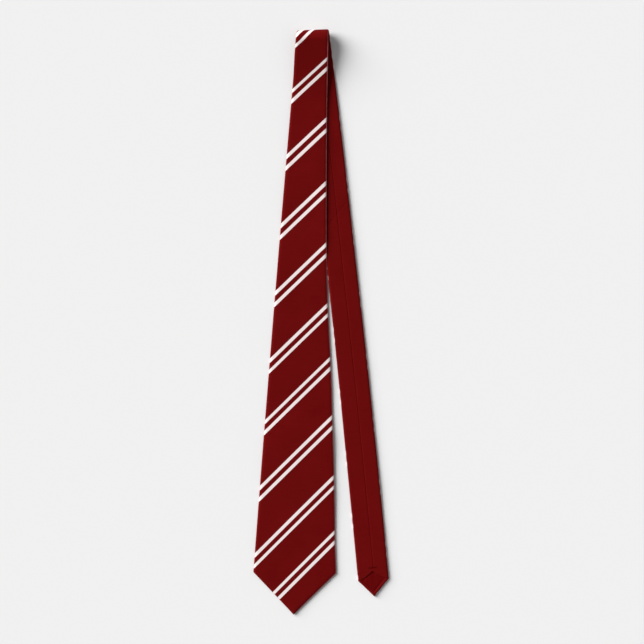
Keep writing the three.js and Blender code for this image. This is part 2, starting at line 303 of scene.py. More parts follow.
def lift(u, v):
    rows, columns = sagLift.shape
    row = np.clip((u - sagAt[0]) / (sagAt[-1] - sagAt[0]), 0, 1) * (rows - 1)
    column = (np.clip(v / np.maximum(legWidth(u), 1), -1, 1) + 1) / 2 * (columns - 1)
    i, j = np.minimum(row.astype(int), rows - 2), np.minimum(column.astype(int), columns - 2)
    a, b = row - i, column - j
    low = sagLift[i, j] * (1 - b) + sagLift[i, j + 1] * b
    high = sagLift[i + 1, j] * (1 - b) + sagLift[i + 1, j + 1] * b
    return (low * (1 - a) + high * a) * (u > sagAt[0]) + ripple(u, v)


def place(u, v, n):
    u, v, n = (np.array(value, float) for value in np.broadcast_arrays(u, v, n))
    x, y, z = layFlat(u, v, n)
    z = z + lift(u, v)
    c, s = math.cos(foldTurn), math.sin(foldTurn)
    x, y = x * c - y * s, x * s + y * c
    return np.stack([foldOrigin[0] + x * mm, foldOrigin[1] + y * mm, z * mm], -1)


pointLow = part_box("blade_shell_tip")[0].y
pointOff = abs(place(bladeLength, 0, thick / 2)[1] - pointLow)
print(f"blade point is {pointOff / mm:.2f} mm from the frame's")


def addNode(tree, kind, inputs=None, **settings):
    made = tree.nodes.new(kind)
    for key, value in settings.items():
        setattr(made, key, value)
    for key, value in (inputs or {}).items():
        if isinstance(value, bpy.types.NodeSocket):
            tree.links.new(value, made.inputs[key])
        else:
            made.inputs[key].default_value = value
    return made


# Materials. A cloth reads its own "cloth" UV map, in metres of flat cloth.
class Look:
    def __init__(self, name, **sockets):
        self.material = bpy.data.materials.new(name)
        self.material.use_nodes = True
        self.tree = self.material.node_tree
        self.shader = self.tree.nodes["Principled BSDF"]
        for socket, value in sockets.items():
            self.shader.inputs[socket.replace("_", " ")].default_value = value

    def add(self, kind, inputs=None, **settings):
        return addNode(self.tree, "ShaderNode" + kind, inputs, **settings)

    def clothMap(self):
        return self.add("UVMap", uv_map="cloth").outputs[0]

    def math(self, operation, a, b=0.0, c=0.0):
        return self.add("Math", {0: a, 1: b, 2: c}, operation=operation).outputs[0]

    def times(self, a, b):
        return self.math("MULTIPLY", a, b)

    def apart(self, a, b):
        return self.math("ABSOLUTE", self.math("SUBTRACT", a, b))

    def fade(self, value, start, end, to=(0.0, 1.0)):
        return self.add("MapRange", {0: value, 1: start, 2: end, 3: to[0], 4: to[1]}).outputs[0]

    def mix(self, share, a, b):
        return self.add("Mix", {0: share, 6: a, 7: b}, data_type="RGBA").outputs[2]

    def noise(self, vector, scale, detail=2.0, roughness=0.5):
        inputs = {"Vector": vector, "Scale": scale, "Detail": detail, "Roughness": roughness}
        return self.add("TexNoise", inputs).outputs[0]

    def wave(self, vector, scale, distortion, direction, detail=2.0):
        inputs = {"Vector": vector, "Scale": scale, "Distortion": distortion, "Detail": detail}
        return self.add("TexWave", inputs, bands_direction=direction).outputs[1]

    def stretched(self, vector, scale, turn=0.0):
        return self.add("Mapping", {"Vector": vector, "Rotation": (0, 0, turn), "Scale": scale}).outputs[0]

    def colour(self, socket):
        self.tree.links.new(socket, self.shader.inputs["Base Color"])

    def patches(self, colours, patch, weave, most, ends=(0, 1)):
        # patches of two tones, and a shade between the threads
        dark, light, shade = colours
        base = self.mix(self.fade(patch, 0.3, 0.7), dark, light)
        self.colour(self.mix(self.fade(weave, *ends, (0, most)), base, shade))

    def finish(self, roughness, height, strength, distance):
        self.tree.links.new(roughness, self.shader.inputs["Roughness"])
        bump = self.add("Bump", {"Strength": strength, "Distance": distance, "Height": height})
        self.tree.links.new(bump.outputs[0], self.shader.inputs["Normal"])
        return self.material


silk = {
    "red": (0.137, 0.0040, 0.0042, 1),
    "deepRed": (0.117, 0.0030, 0.0032, 1),
    "ribShade": (0.05, 0.001, 0.0015, 1),
    "white": (0.80, 0.71, 0.70, 1),
    # painted shade between the ribs of the white stripes
    "whiteRibShade": (0.62, 0.50, 0.49, 1),
    "whiteSlub": (0.74, 0.62, 0.62, 1),
    "wornRed": (0.22, 0.02, 0.022, 1),
    # painted highlight colour for the pale line down the blade's right edge
    "paintedHighlightRed": (0.62, 0.15, 0.16, 1),
    "sheen": (0.7, 0.06, 0.06, 1),
    "gloss": (1.0, 0.12, 0.12, 1),
    "stripeAngle": math.radians(44.1),
    "repeat": 0.0525,
    "stripeWidth": 0.0037,
    "stripeApart": 0.00904,
    "stripePhase": 0.5,
    "stripeWaver": 0.004,  # shares of the repeat
    "stripeBlur": 0.0022,
    "ribs": 0.00062,  # twill rib to rib
}


def stripes(look, uv, x, y):
    repeat, angle = silk["repeat"], silk["stripeAngle"]
    run = look.math("MULTIPLY_ADD", x, math.cos(angle) / repeat, look.times(y, math.sin(angle) / repeat))
    run = look.math("MULTIPLY_ADD", look.noise(uv, 900.0, 1.0), silk["stripeWaver"], run)
    fromPair = look.apart(look.math("FRACT", look.math("ADD", run, silk["stripePhase"])), 0.5)
    fromStripe = look.apart(fromPair, silk["stripeApart"] / 2 / repeat)
    half, blur = silk["stripeWidth"] / 2 / repeat, silk["stripeBlur"]
    return look.fade(fromStripe, half + blur, half - blur)


def silkLook(name, striped):
    gloss = {"Specular_IOR_Level": 0.035, "Specular_Tint": silk["gloss"]}
    look = Look(name, Sheen_Weight=0.14, Sheen_Roughness=0.4, Sheen_Tint=silk["sheen"], **gloss)
    uv = look.clothMap()
    x, y = look.add("SeparateXYZ", {0: uv}).outputs[:2]
    edge = look.add("Attribute", attribute_name="edge").outputs[2]
    ribScale = 2 * math.pi / (10 * silk["ribs"] * math.sqrt(2))
    ribs = look.wave(uv, ribScale, 0.6, "DIAGONAL", 1.0)
    threads = look.wave(uv, ribScale * 1.9, 1.2, "X")
    slub = look.noise(look.stretched(uv, (40, 420, 1), silk["stripeAngle"]), 1.0)
    tone = look.math("MULTIPLY_ADD", look.noise(uv, 26.0, 3.0), 0.6, look.times(slub, 0.4))
    base = look.mix(look.fade(tone, 0.30, 0.70), silk["deepRed"], silk["red"])
    base = look.mix(look.fade(ribs, 0.0, 1.0, (0.0, 0.16)), base, silk["ribShade"])
    if striped:
        stripe = look.times(stripes(look, uv, x, y), look.fade(edge, -0.4, -0.1))
        # the white stripes take painted shade between their ribs, and slub tone
        white = look.mix(look.fade(ribs, 0.0, 1.0, (0.0, 0.10)), silk["white"], silk["whiteRibShade"])
        white = look.mix(look.fade(slub, 0.35, 0.75, (0.0, 0.16)), white, silk["whiteSlub"])
        base = look.mix(stripe, base, white)
    # faint wear on both edges, and a pale line down the right one that is a painted highlight, fainter away
    # from the fold
    patchy = look.fade(look.noise(uv, 160.0, 3.0), 0.30, 0.62, (0.12, 0.5))
    worn = look.times(look.fade(look.math("ABSOLUTE", edge), 0.9, 0.1), patchy)
    paintedHighlight = look.times(look.fade(look.apart(edge, 0.45), 0.55, 0.25), look.fade(x, 0.0, 0.012))
    byFold = look.times(look.fade(y, 0.005, 0.03), look.fade(y, 0.12, 0.34, (1.0, 0.5)))
    broken = look.fade(look.noise(uv, 70.0, 3.0), 0.30, 0.66, (0.45, 1.0))
    paintedHighlight = look.times(look.times(paintedHighlight, byFold), broken)
    look.colour(look.mix(paintedHighlight, look.mix(worn, base, silk["wornRed"]), silk["paintedHighlightRed"]))
    roughness = look.math("MULTIPLY_ADD", ribs, 0.12, look.fade(tone, 0.3, 0.7, (0.54, 0.64)))
    height = look.math("MULTIPLY_ADD", threads, 0.35, look.math("MULTIPLY_ADD", slub, 0.5, ribs))
    return look.finish(roughness, height, 0.35, 0.00006)


plain = {
    # dark and light patches, and the shade between threads
    "lining": ((0.098, 0.0018, 0.0022, 1), (0.122, 0.0026, 0.0030, 1), (0.04, 0.001, 0.0015, 1)),
    "wool": ((0.60, 0.55, 0.46, 1), (0.74, 0.70, 0.61, 1), (0.46, 0.41, 0.33, 1)),
    "thread": ((0.085, 0.0016, 0.002, 1), (0.125, 0.0026, 0.003, 1), (0.03, 0.001, 0.001, 1)),
    "ribbon": ((0.70, 0.66, 0.57, 1), (0.80, 0.77, 0.69, 1), (0.52, 0.47, 0.38, 1)),
    "liningGloss": (1.0, 0.15, 0.15, 1),
}


def liningLook():
    gloss = {"Specular_IOR_Level": 0.07, "Specular_Tint": plain["liningGloss"]}
    look = Look("redLining", Sheen_Weight=0.08, Sheen_Tint=silk["sheen"], **gloss)
    uv = look.clothMap()
    weave = look.wave(uv, 900.0, 0.5, "X")
    shine = look.noise(look.stretched(uv, (260, 22, 1)), 1.0, 3.0)
    look.patches(plain["lining"], shine, weave, 0.15)
    height = look.math("MULTIPLY_ADD", shine, 0.6, weave)
    return look.finish(look.fade(shine, 0.3, 0.7, (0.34, 0.46)), height, 0.3, 0.00005)


def woolLook():
    look = Look("brushedWool", Sheen_Weight=0.35, Sheen_Roughness=0.7, Specular_IOR_Level=0.15)
    uv = look.clothMap()
    fuzz = look.noise(uv, 1400.0, 4.0, 0.7)
    look.patches(plain["wool"], look.noise(uv, 60.0, 3.0), fuzz, 0.35, (0.4, 0.7))
    return look.finish(look.fade(fuzz, 0, 1, (0.86, 1.0)), fuzz, 0.6, 0.00025)


def threadLook():
    gloss = {"Specular_IOR_Level": 0.05, "Specular_Tint": silk["gloss"]}
    look = Look("twistedThread", Sheen_Weight=0.05, Sheen_Tint=silk["sheen"], **gloss)
    at = look.add("TexCoord").outputs["Object"]
    twist = look.wave(at, 1100.0, 0.8, "DIAGONAL")
    look.patches(plain["thread"], look.noise(at, 500.0), twist, 0.3)
    return look.finish(look.fade(twist, 0, 1, (0.42, 0.6)), twist, 0.5, 0.00006)


def labelLook():
    look = Look("wovenRibbon", Sheen_Weight=0.1, Specular_IOR_Level=0.35)
    uv = look.clothMap()
    rib, warp = look.wave(uv, 420.0, 0.3, "Y"), look.wave(uv, 700.0, 0.6, "X")
    look.patches(plain["ribbon"], look.noise(uv, 130.0, 3.0), rib, 0.3)
    height = look.math("MULTIPLY_ADD", warp, 0.5, rib)
    return look.finish(look.fade(rib, 0, 1, (0.55, 0.72)), height, 0.5, 0.00012)


stripedSilk, plainSilk = silkLook("stripedSilk", True), silkLook("plainSilk", False)
redLining, brushedWool, twistedThread, wovenRibbon = liningLook(), woolLook(), threadLook(), labelLook()
print("materials made")


# Sheets built on a grid: rows along the tie, columns across it
fine = {"weld": 2e-6, "speck": 1e-7, "sharp": math.radians(58)}
sheets, areas = {}, {}


def toScene(name, data):
    made = bpy.data.objects.new(name, data)
    bpy.context.scene.collection.objects.link(made)
    return made


def averageNormals(points, quads):
    a, b, c, d = (points[quads[:, k]] for k in range(4))
    face = np.cross(c - a, d - b)
    normals = np.zeros_like(points)
    for k in range(4):
        np.add.at(normals, quads[:, k], face)
    return normals / np.maximum(np.linalg.norm(normals, axis=1), 1e-15)[:, None]


def gridQuads(rows, columns, around=False):
    index = np.arange(rows * columns).reshape(rows, columns)
    if around:
        index = np.concatenate([index, index[:, :1]], 1)
    return np.stack([index[:-1, :-1], index[1:, :-1], index[1:, 1:], index[:-1, 1:]], -1).reshape(-1, 4)


def makeMesh(name, points, faces, material, uv, values):
    mesh = bpy.data.meshes.new(name)
    mesh.from_pydata(points.tolist(), [], faces)
    corner = np.zeros(len(mesh.loops), np.int32)
    mesh.loops.foreach_get("vertex_index", corner)
    layer = mesh.uv_layers.new(name="cloth")
    layer.data.foreach_set("uv", uv[corner].astype(np.float32).ravel())
    for key, value in values.items():
        mesh.attributes.new(key, "FLOAT", "POINT").data.foreach_set("value", value.astype(np.float32))
    edit = bmesh.new()
    edit.from_mesh(mesh)
    bmesh.ops.remove_doubles(edit, verts=edit.verts, dist=fine["weld"])
    bmesh.ops.dissolve_degenerate(edit, edges=edit.edges, dist=fine["speck"])
    edit.to_mesh(mesh)
    edit.free()
    mesh.shade_smooth()
    mesh.set_sharp_from_angle(angle=fine["sharp"])
    mesh.materials.append(material)
    return toScene(name, mesh)


def closeSheet(name, grid, material, rows=(None,)):
    # the rows asked for, given their thickness and closed round the rim
    part = slice(*rows)
    points = grid["points"][part]
    a, b, c, d = points[:-1, :-1], points[1:, :-1], points[1:, 1:], points[:-1, 1:]
    areas[name] = float(np.linalg.norm(np.cross(c - a, d - b), axis=-1).sum() / 2)
    flat, out = points.reshape(-1, 3), grid["normals"][part].reshape(-1, 3)
    count, half = len(flat), grid["thickness"] / 2
    quads = gridQuads(*points.shape[:2])
    if grid["turned"]:
        quads = quads[:, ::-1]
    edges = np.concatenate([quads[:, [k, (k + 1) % 4]] for k in range(4)])
    here, back = edges[:, 0] * count + edges[:, 1], edges[:, 1] * count + edges[:, 0]
    rim = edges[~np.isin(here, back)]
    rimFaces = np.stack([rim[:, 1], rim[:, 0], rim[:, 0] + count, rim[:, 1] + count], -1)
    faces = np.concatenate([quads, quads[:, ::-1] + count, rimFaces]).tolist()
    uv = np.tile(grid["uv"][part].reshape(-1, 2), (2, 1))
    values = {key: np.tile(grid[key][part].ravel(), 2) for key in ("edge", "share")}
    both = np.concatenate([flat + out * half, flat - out * half])
    sheets[name] = makeMesh(name, both, faces, material, uv, values)
    return sheets[name]


# Where the cloth bends when a joint moves, along the tie, the bodies that it joins,
# and the lengths that its interlining and its thread are cut to
hinge, tailHinge = tie["bladeHinge"], tie["tailHinge"]
bladeSeam, tailSeam = tie["bladeSeamAt"], tie["tailSeamAt"]
bends = {
    "fold": ((-23.5, 23.5), ("neck", "blade_upper"), ("fold_lower", "fold_upper")),
    "blade": ((hinge - 0.5, hinge + 9.5), ("blade_upper", "blade_end"), ("blade_body", "blade_tip")),
    "neck": ((bladeSeam - 1.0, bladeSeam - 32.0), ("neck", "tail_upper"), ("neck",)),
    "tail": ((tailHinge + 1.0, tailHinge - 14.0), ("tail_upper", "tail_end"), ("tail_tip",)),
}


def shareAt(u, v, section):
    start, end = bends[section][0]
    if section == "fold":
        _, fromFold, turn = middleLine(u)
        u = fromFold + v * np.sin(turn)
    elif section == "neck":
        u = u - v  # along the slant of its seam
    return ease((u - start) / (end - start))


def bendBetween(piece, lower, upper, start, end):
    # the piece's own shares, by distance along the cloth, take the place of the straight-line ones
    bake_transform(piece, lower, upper, start=tuple(start), end=tuple(end))
    attributes = piece.data.attributes
    share = np.zeros(len(piece.data.vertices), np.float32)
    attributes["share"].data.foreach_get("value", share)
    attributes["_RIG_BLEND"].data.foreach_set("value", share)
    attributes.remove(attributes["share"])


def standsFor(piece, slot, *nodes):
    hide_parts(*nodes)


def bendWith(piece, section, slot, nodes):
    between, bodies, _ = bends[section]
    bendBetween(piece, *bodies, *(place(at, 0, thick / 2) for at in between))
    standsFor(piece, slot, *nodes)


def lengthsOf(kind, section):
    return [f"{kind}_{length}" for length in bends[section][2]]


def sewOn(piece, body, slot, node):
    shares = piece.data.attributes.get("share")
    if shares:
        piece.data.attributes.remove(shares)
    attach(piece, body)
    standsFor(piece, slot, node)


def sheetGrid(u, v, n, thickness, edge, section=None, uv=None, front=1):
    # mid-surface, offsets to its two faces, and what the material and the bends read
    points = place(u, v, n)
    normals = averageNormals(points.reshape(-1, 3), gridQuads(*points.shape[:2])).reshape(points.shape)
    out = place(u, v, n + 0.05) - points
    turned = ((normals * out).sum(-1) * front).sum() < 0
    return {
        "points": points,
        "normals": -normals if turned else normals,
        "turned": turned,
        "thickness": thickness * mm,
        "edge": edge,
        "share": shareAt(u, v, section) if section else 0 * u,
        "uv": np.stack([v, u], -1) * mm if uv is None else uv,
    }


def spread(start, end, step):
    return list(np.linspace(start, end, max(2, int(math.ceil(abs(end - start) / step)) + 1))[:-1])


def ruled(slant, stops, steps):
    # lines across the tie at one slant, from each stop to the next at its own step
    runs = zip(stops, stops[1:], steps)
    return [(at, slant) for start, end, step in runs for at in spread(start, end, step)]


def fan(start, end, slants, step):
    # lines across the tie that turn from one slant to another on the way
    count = max(2, int(math.ceil(abs(end - start) / step)))
    reach, turned = end - start, slants[1] - slants[0]
    return [(start + reach * k / count, slants[0] + turned * k / count) for k in range(count)]


def slanted(lines, count, acrossAt):
    # u and v of every point on lines that slant across the tie
    at, slant = (np.array(values)[:, None] for values in zip(*lines))
    u = at + np.zeros((1, count))
    for _ in range(rounds):
        v = acrossAt(u)
        u = at + slant * v
    return u, v


# Shell: the striped cloth, wrapped round to the back where its two edges lap
shell = {
    "cloth": 0.4,
    "roll": 3.4,  # how far in from an edge the roll reaches
    "tailRoll": 2.2,
    "crown": 0.28,
    "lap": 5.0,
    "lapDip": 0.9,
    # where the close columns stand, in from the edge: on the flap that goes under, and the one over it
    "lapSteps": ((1.55, 1.15, 0.8, 0.3), (1.2, 0.8, 0.4, 0.0)),
    "foldedEdge": 0.7,
    # in and up, round the folded edge
    "curl": ((0, 0), (0.2, 0.12), (0.27, 0.28), (0.12, 0.48), (-3.0, 0.56)),
    "underStep": 0.3,
    "opening": (108.0, 33.0),  # how far above the point, for blade and tail
    "hem": (9.0, 3.6),
    "hemSink": (0.4, 0.65),
    "hemBow": 0.07,
    "seamDepth": 0.12,
    "seamWidth": 1.5,
    "columns": {"fold": (44, 12), "neck": (26, 9), "tail": (26, 9)},  # across the front, and a flap
}
flapZones = ("flap", "lap", "under")


def hemAt(u):
    # how far up the opening reaches, the hem beside it, and where that meets at the point
    reach, hem = (np.where(u > 0, *shell[key]) for key in ("opening", "hem"))
    return reach, hem, hem * np.sqrt(1 + pointShape(u)[1] ** 2)


def openingAt(u):
    # half the width of the opening at the pointed end, and how closed the back is
    left, steep = pointShape(u)
    reach, hem, pointIn = hemAt(u)
    corner = np.where(u > 0, tie["bladeWidth"], tie["tailWidth"]) / 2 - hem
    cornerAt = pointIn + steep * corner
    upper = corner * (reach - left) / (reach - cornerAt)
    lower = corner * (left - pointIn) / (cornerAt - pointIn)
    half = np.clip(np.minimum(upper, lower), 0, None)
    bowed = 1 - shell["hemBow"] * np.sin(np.pi * np.clip((reach - left) / (reach - cornerAt), 0, 1))
    return half * bowed, ease((left - reach - 1) / 7)


def clothColumns(frontCount, flapCount):
    # (side, zone, share) from the hidden edge of one flap, round the front, to the other's
    arc = [1 - math.cos(math.radians(angle)) for angle in range(0, 91, 15)]
    back = [(1, "under", k) for k in (4, 3, 2, 1)] + [(1, "lap", k) for k in (3, 2, 1, 0)]
    back += [(1, "flap", 1 - k / flapCount) for k in range(flapCount)]
    back += [(1, "backRoll", share) for share in reversed(arc)]
    back += [(1, "frontRoll", share) for share in arc[1:]]
    front = [(0, "front", 1 - 2 * k / frontCount) for k in range(1, frontCount)]
    return back + front + [(-side, zone, share) for side, zone, share in reversed(back)]


def clothSection(u, columns):
    inset = shell["cloth"] / 2
    left, steep = pointShape(u)
    half = outline(u, inset)
    opening, closed = openingAt(u)
    pointedHere = left / steep < legWidth(u)
    roll = np.where(u > 0, shell["roll"], shell["tailRoll"])
    rollAcross = np.minimum(roll * np.where(pointedHere, np.sqrt(1 + 1 / steep**2), 1), 0.45 * half)
    v, depth, back = (np.zeros_like(u) for _ in range(3))
    for k, (side, zone, share) in enumerate(columns):
        w, r, shut, mouth = (values[:, k] for values in (half, rollAcross, closed, opening))
        goesUnder = side > 0
        lap = shell["lap"] * shut if goesUnder else 0
        flapEdge = mouth - (lap if goesUnder else shell["foldedEdge"] * shut)
        steps = shell["lapSteps"][0 if goesUnder else 1]
        near = (mouth if goesUnder else flapEdge) + steps[0]
        away = np.minimum(near, 0.5 * (w - r + flapEdge))
        back[:, k] = zone == "backRoll" or zone in flapZones
        if zone == "front":
            v[:, k] = share * (w - r)
        elif zone == "flap":
            v[:, k] = side * (w - r + (away - w + r) * share)
        elif zone == "lap":
            v[:, k] = side * (away + (flapEdge - away) * ((steps[0] - steps[share]) / (steps[0] + lap)))
        elif zone == "under":
            inward, up = shell["curl"][share]
            folded = 1 - shut if goesUnder else 1.0
            tucked = np.maximum(inward, -0.5 * w) * folded + shell["underStep"] * share * (1 - folded)
            v[:, k] = side * (flapEdge - tucked)
            depth[:, k] = up * folded
        else:
            v[:, k] = side * (w - r * share)
        if goesUnder and zone in flapZones:
            depth[:, k] += shell["lapDip"] * shut * ease((steps[0] - v[:, k]) / 0.7)
    edge = edgeDistance(u, v, inset)
    swell = np.sqrt(1 - (1 - np.clip(edge / roll, 0, 1)) ** 2)
    _, hem, pointIn = hemAt(u)
    besidePoint = ease((left - 0.5 * pointIn) / pointIn)
    besidePoint = besidePoint * ease((pointIn + steep * (half - hem) + 1 - left) / 3)
    sink = besidePoint * np.where(u > 0, *shell["hemSink"])
    depth += back * sink * ease((3.2 - np.abs(np.abs(v) - opening)) / 3)
    seam = sum(np.exp(-(((u - v - at) / shell["seamWidth"]) ** 2)) for at in (bladeSeam, tailSeam))
    rise = (thick / 2 - inset) * swell - shell["seamDepth"] * seam * swell
    crown = shell["crown"] * (1 - (v / np.maximum(half, 1)) ** 2) * swell * ease((u - 20) / 60)
    n = thick / 2 + np.where(back > 0, -rise + depth * np.minimum(1, swell * 1.2), rise + crown)
    flatAcross = np.where(back > 0, np.sign(v + 1e-9) * (2 * half - np.abs(v)), v)
    return v, n, np.where(back > 0, -edge - 0.01, edge), flatAcross


# How the print lies: its offset at each seam, how it is drawn over the fold's crown,
# and how far each pair of stripes, which aren't quite even, is drawn up the tie
drawn = {
    "slips": {"fold": 0.0, "neck": 21.0, "tail": 9.0},
    "crown": (1.03, 0.7),
    "at": [52.5 * pair for pair in range(-1, 10)],
    "up": [0.9, 0.9, 8.3, 7.1, 3.9, 2.65, 1.3, 5.6, 5.5, 4.8, 9.75],
}
crownSteps = np.linspace(0, loopEnd, 60)
crownGain = np.clip(np.sin(crownSteps / radius) * drawn["crown"][0], drawn["crown"][1], 1)
crownPrint = loopEnd - (crownGain[::-1].cumsum()[::-1] - crownGain / 2) * (crownSteps[1] - crownSteps[0])


def printPlace(u, flatAcross, v, slip):
    # where on the printed cloth a point is
    _, fromFold, turn = middleLine(u)
    s = fromFold + v * np.sin(turn)
    over = np.where(s < 0, crownPrint[0] + s, np.interp(s, crownSteps, crownPrint)) - s
    along = u + np.where(s < loopEnd, over, 0)
    sine, cosine = math.sin(silk["stripeAngle"]), math.cos(silk["stripeAngle"])
    drawnAt = [at - up for at, up in zip(drawn["at"], drawn["up"])]
    shift = np.interp(along * sine + v * cosine, drawnAt, drawn["up"]) / sine
    return np.stack([flatAcross, along + shift + slip], -1) * mm


def shellGrid(lines, section):
    columns = clothColumns(*shell["columns"][section])
    u, v = slanted(lines, len(columns), lambda u: clothSection(u, columns)[0])
    v, n, edge, flatAcross = clothSection(u, columns)
    moved = easedAcross(u, v)
    uv = printPlace(u, flatAcross + moved - v, moved, drawn["slips"][section])
    front = np.array([zone == "front" for _, zone, _ in columns]) + np.zeros_like(u)
    return u, v, sheetGrid(u, v, n, shell["cloth"], edge, section, uv, front)


def pinchPoint(grid, point):
    # the last line is one point, so its two faces are drawn apart along the tie
    toPoint = place(point, 0, thick / 2) - place(point - math.copysign(5, point), 0, thick / 2)
    grid["points"][-1] = grid["points"][-1].mean(0)
    grid["normals"][-1] = toPoint / np.linalg.norm(toPoint)


lay = {
    "loop": 17.0,  # to either side, where lines keep the fold's slant
    "squareFrom": (70.0, -300.0),  # where lines lie square across, on blade and tail
    "aroundHinge": (-2, 12),
    "aroundTailHinge": (3, -17),
    "openingFrom": (112, 38),
    "bladeStep": 2.2,
    "loopStep": 0.9,
    "tailStep": 2.3,
}
foldSlant = -math.tan(lean)
loop, (squareFrom, tailSquareFrom) = lay["loop"], lay["squareFrom"]
hingeStops = [hinge + by for by in lay["aroundHinge"]]
tailHingeStops = [tailHinge + by for by in lay["aroundTailHinge"]]
bladeCorner, tailCorner = bladeLength - tie["bladeTip"], tie["tailTip"] - tailLength

loopLines = fan(bladeSeam + 0.05, bladeSeam + 2.5, (1, 0.9), 0.5)
loopLines += fan(bladeSeam + 2.5, -loop, (0.9, foldSlant), 1.3)
loopLines += ruled(foldSlant, (-loop, loop, sag["from"]), (lay["loopStep"], 1.5))
foldRows = len(loopLines) + 1
bladeLines = fan(sag["from"], squareFrom, (foldSlant, 0), 1.8)
bladeStops = (squareFrom, *hingeStops, bladeLength - lay["openingFrom"][0], bladeCorner, bladeLength - 2)
bladeLines += ruled(0, bladeStops, (lay["bladeStep"], 0.7, lay["bladeStep"], 1.6, 1.5))
bladeLines += [(bladeLength - left, 0) for left in (2, 1.2, 0.7, 0.3)]
u, v, bladeGrid = shellGrid(loopLines + bladeLines, "fold")
pinchPoint(bladeGrid, bladeLength)
closeSheet("fold_cloth", bladeGrid, stripedSilk, (0, foldRows))
bladeGrid["share"] = shareAt(u, v, "blade")
closeSheet("blade_cloth", bladeGrid, stripedSilk, (foldRows - 1, None))

neckStops = (bladeSeam - 0.05, bladeSeam - 3, tailSeam + 3, tailSeam + 0.05)
neckLines = ruled(1, neckStops, (0.5, lay["tailStep"], 0.5)) + [(tailSeam + 0.05, 1)]
tailLines = ruled(1, (tailSeam - 0.05, tailSeam - 3), (0.5,)) + fan(tailSeam - 3, tailSquareFrom, (1, 0), 1.8)
tailStops = (tailSquareFrom, *tailHingeStops, lay["openingFrom"][1] - tailLength, tailCorner)
tailLines += ruled(0, (*tailStops, 1.5 - tailLength), (lay["tailStep"], 0.9, lay["tailStep"], 1.2, 1.1))
tailLines += [(left - tailLength, 0) for left in (1.5, 0.9, 0.3)]
neckGrid, tailGrid = shellGrid(neckLines, "neck")[2], shellGrid(tailLines, "tail")[2]
closeSheet("neck_cloth", neckGrid, stripedSilk)
pinchPoint(tailGrid, -tailLength)
closeSheet("tail_cloth", tailGrid, stripedSilk)

for section, nodes in (
    ("fold", ("fold_shell_lower", "fold_shell_upper")),
    ("blade", ("blade_shell_body", "blade_shell_tip")),
    ("neck", ("neck_shell",)),
    ("tail", ("tail_shell_body", "tail_shell_tip")),
):
    bendWith(sheets[f"{section}_cloth"], section, "striped_silk", nodes)
print("shell made")


# Linings and interlinings: plain sheets between the layers of the shell
wool = {"height": 2.25, "thickness": 0.9, "inset": 1.1, "columns": 17, "step": 6.0, "seamGap": 0.3}
tipping = {
    "height": 1.15,
    "thickness": 0.25,
    "inset": 1.2,
    "columns": 33,
    "tuck": 25.0,
    "dip": 0.42,
    "dipFrom": (103, 28),  # above the point, on blade and tail
    "slack": (0.25, 0.42),
    "slackFade": (8, 4),
}


def plainSheet(name, lines, settings, heightAt, section, material):
    shares = np.linspace(-1, 1, settings["columns"])[None, :]
    u, v = slanted(lines, settings["columns"], lambda u: shares * outline(u, settings["inset"]))
    edge = edgeDistance(u, v, settings["inset"])
    grid = sheetGrid(u, v, heightAt(u, v), settings["thickness"], edge, section)
    return closeSheet(name, grid, material)


def tippingHeight(u, v):
    opening = openingAt(u)[0]
    dip = tipping["dip"] * ease((pointShape(u)[0] - np.where(u > 0, *tipping["dipFrom"])) / 6)
    slack, fade = (np.where(u > 0, *tipping[key]) for key in ("slack", "slackFade"))
    slack = slack * ease((opening - np.abs(v)) / fade) * (1 + 0.5 * np.sin(u / 6.5 + v / 9))
    return tipping["height"] + dip * ease((9 - np.abs(v)) / 5) - slack


woolGap, woolStep = wool["seamGap"], wool["step"]
bladePoint = bladeLength - wool["inset"] * math.hypot(1, bladeSteep)
tailPoint = wool["inset"] * math.hypot(1, tailSteep) - tailLength
woolEnd = sag["from"] - 0.1
foldWool = fan(bladeSeam + woolGap, -loop, (1, foldSlant), 3.0)
foldWool += ruled(foldSlant, (-loop, loop, woolEnd), (1.2, 3.0)) + [(woolEnd, foldSlant)]
bladeWool = fan(sag["from"] + 0.1, squareFrom, (foldSlant, 0), 4.0)
bladeWool += ruled(0, (squareFrom, *hingeStops, bladeCorner, bladePoint), (woolStep, 1.0, woolStep, 3.0))
bladeWool += [(bladePoint - 0.6, 0), (bladePoint - 0.15, 0)]
neckWool = ruled(1, (bladeSeam - woolGap, tailSeam + woolGap), (4.0,)) + [(tailSeam + woolGap, 1)]
tailWool = fan(tailSeam - woolGap, tailSquareFrom, (1, 0), 4.0)
tailWool += ruled(0, (tailSquareFrom, *tailHingeStops, tailCorner, tailPoint), (woolStep, 1.2, woolStep, 2.5))
tailWool += [(tailPoint + 0.15, 0)]

for section, lines in (("fold", foldWool), ("blade", bladeWool), ("neck", neckWool), ("tail", tailWool)):
    name = f"{section}_interlining"
    made = plainSheet(name, lines, wool, lambda u, v: wool["height"] + 0 * u, section, brushedWool)
    bendWith(made, section, "interlining", lengthsOf("interlining", section))

for name, way, length, corner, steep, opening in (
    ("blade", 1, bladeLength, bladeCorner, bladeSteep, shell["opening"][0]),
    ("tail", -1, tailLength, -tailCorner, tailSteep, shell["opening"][1]),
):
    last = length - tipping["inset"] * math.hypot(1, steep)
    lines = ruled(0, (length - opening - tipping["tuck"], corner, last - 0.6), (2.2, 2.0))
    lines = [(way * at, 0) for at, _ in lines + [(last - 0.6, 0), (last - 0.1, 0)]]
    made = plainSheet(f"{name}_tipping_cloth", lines, tipping, tippingHeight, None, redLining)
    sewOn(made, f"{name}_end", "tipping", f"{name}_tipping")
print("interlinings and tippings made")


# Keeper loop: a folded band of the same silk, sewn down at both ends
keeper = {
    "at": bladeLength - 210.0,
    "span": 48.0,
    "depth": 14.0,
    "thickness": 0.8,
    "middle": -0.70,
    "bow": 0.16,
    "endHeight": -0.42,
    "endFade": 5.0,
    "bendFade": 14,
    "rows": 65,
    "around": 28,
}


